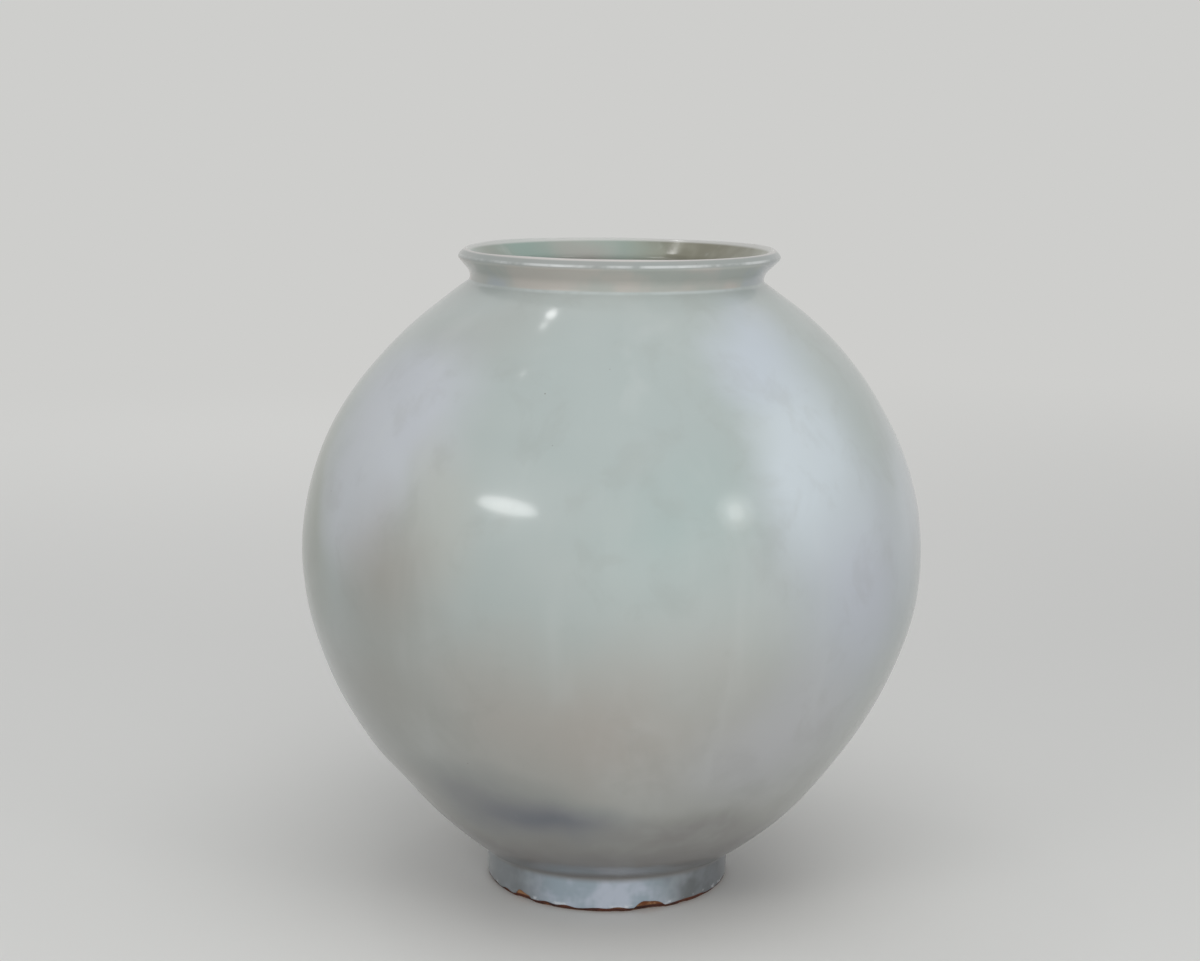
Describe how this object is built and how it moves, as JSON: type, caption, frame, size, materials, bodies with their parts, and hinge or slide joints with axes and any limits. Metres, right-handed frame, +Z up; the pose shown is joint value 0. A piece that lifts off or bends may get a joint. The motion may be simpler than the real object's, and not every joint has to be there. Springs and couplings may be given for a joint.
{
  "type": "moon jar",
  "caption": "Large round porcelain storage jar thrown as two bowls joined at the belly, with a short neck, an everted bevelled lip and a low bare-edged foot ring.",
  "frame": {"origin": "centre of the foot's resting circle, on the table plane", "axes": "+Z up along the jar's axis, from the foot to the mouth; +X to the right and +Y away from the viewer of the picture; the jar is the same all round"},
  "size_m": [0.4399, 0.44, 0.4567],
  "materials": {
    "outside_glaze": "gloss",
    "inside_glaze": "gloss",
    "foot_glaze": "gloss",
    "porcelain_body": "matte",
    "bare_foot": "matte",
    "luting_slip": "matte"
  },
  "bodies": {
    "root": {"outer_glaze": "outside_glaze", "inner_glaze": "inside_glaze", "foot_well_glaze": "foot_glaze", "upper_bowl": "porcelain_body", "lower_bowl": "porcelain_body", "neck_ring": "porcelain_body", "foot_ring": "bare_foot", "belly_slip": "luting_slip", "neck_slip": "luting_slip", "foot_slip": "luting_slip"}
  },
  "joints": []
}
